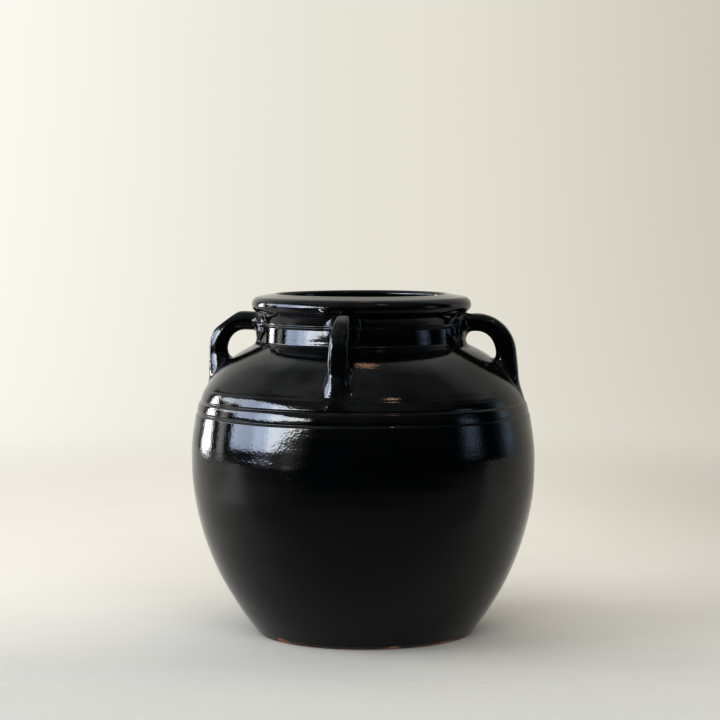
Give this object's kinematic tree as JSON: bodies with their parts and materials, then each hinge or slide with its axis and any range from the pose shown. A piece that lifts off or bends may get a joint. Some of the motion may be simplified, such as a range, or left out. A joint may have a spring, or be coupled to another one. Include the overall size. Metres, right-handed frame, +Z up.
{
  "type": "clay jar",
  "caption": "Round-bodied black-glazed clay jar with a rolled rim, a short stepped neck, incised shoulder lines and loop handles from neck to shoulder.",
  "frame": {"origin": "middle of the flat foot, on the surface that the jar stands on", "axes": "+Z up along the jar's axis; the handles lie on -Y (front), +X (right), +Y (back) and -X (left)"},
  "size_m": [0.2678, 0.2678, 0.265],
  "materials": {
    "black_glaze": "glossy black glaze with a slight orange peel, over red clay",
    "terracotta": "matte bare red clay on the foot and underside, with the glaze ending in a wavy line just above"
  },
  "bodies": {
    "root": {"base": "terracotta", "belly": "black_glaze", "shoulder": "black_glaze", "neck": "black_glaze", "rim": "black_glaze", "handle_front": "black_glaze", "handle_right": "black_glaze", "handle_back": "black_glaze", "handle_left": "black_glaze"}
  },
  "joints": []
}
